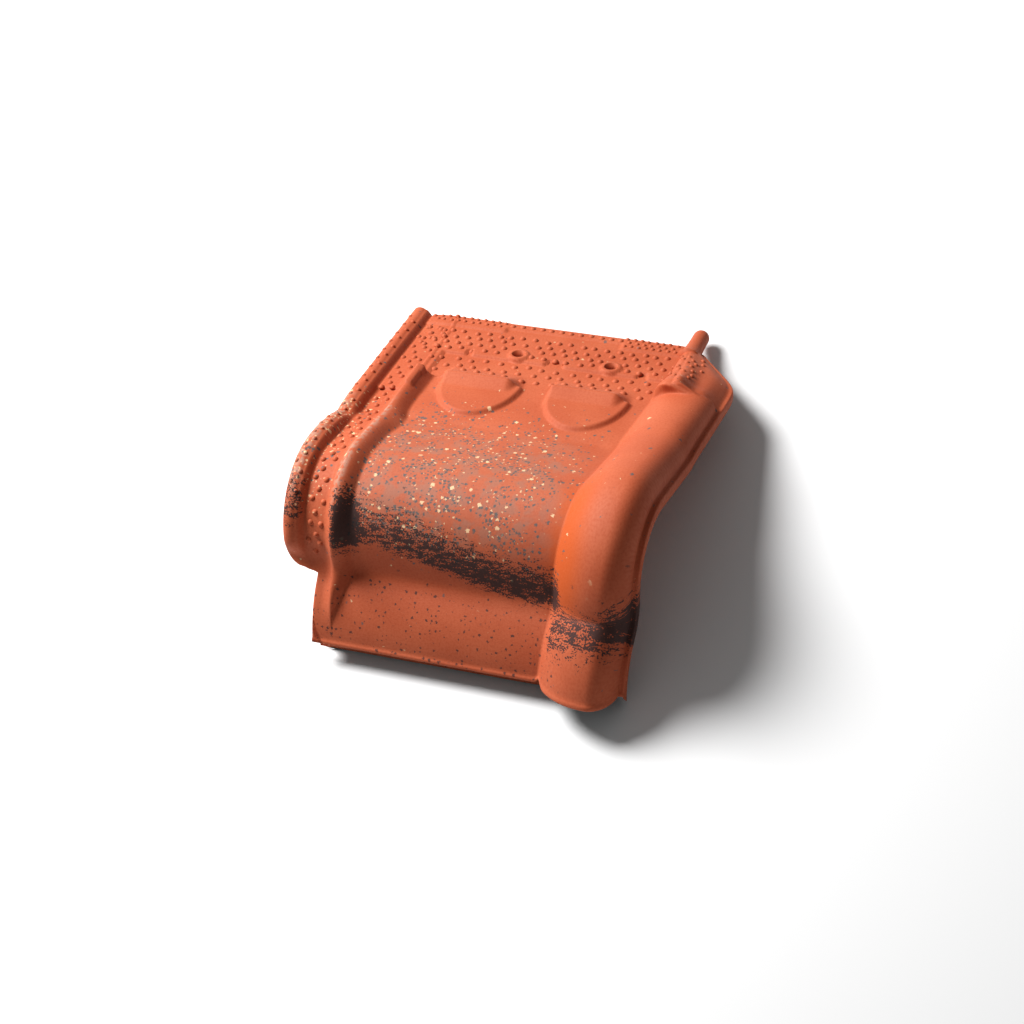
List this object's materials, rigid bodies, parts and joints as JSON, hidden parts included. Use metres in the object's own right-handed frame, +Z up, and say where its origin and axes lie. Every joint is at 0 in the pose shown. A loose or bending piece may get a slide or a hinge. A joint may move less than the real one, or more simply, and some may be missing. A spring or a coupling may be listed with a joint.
{
  "type": "pitch change roof tile",
  "caption": "Interlocking clay roof tile bent over a change of roof pitch, with a side roll, a side lock, studs, nail holes and a flared apron.",
  "frame": {"origin": "centre of the bounding box, on the floor the tile lies on", "axes": "+X across the tile from the side lock to the roll, +Y from the apron to the head, +Z up from the floor"},
  "size_m": [0.26, 0.3364, 0.1186],
  "materials": {
    "clay": "matt fired terracotta with sanded dark bands and pale specks"
  },
  "bodies": {
    "root": {"tile": "clay"}
  },
  "joints": []
}
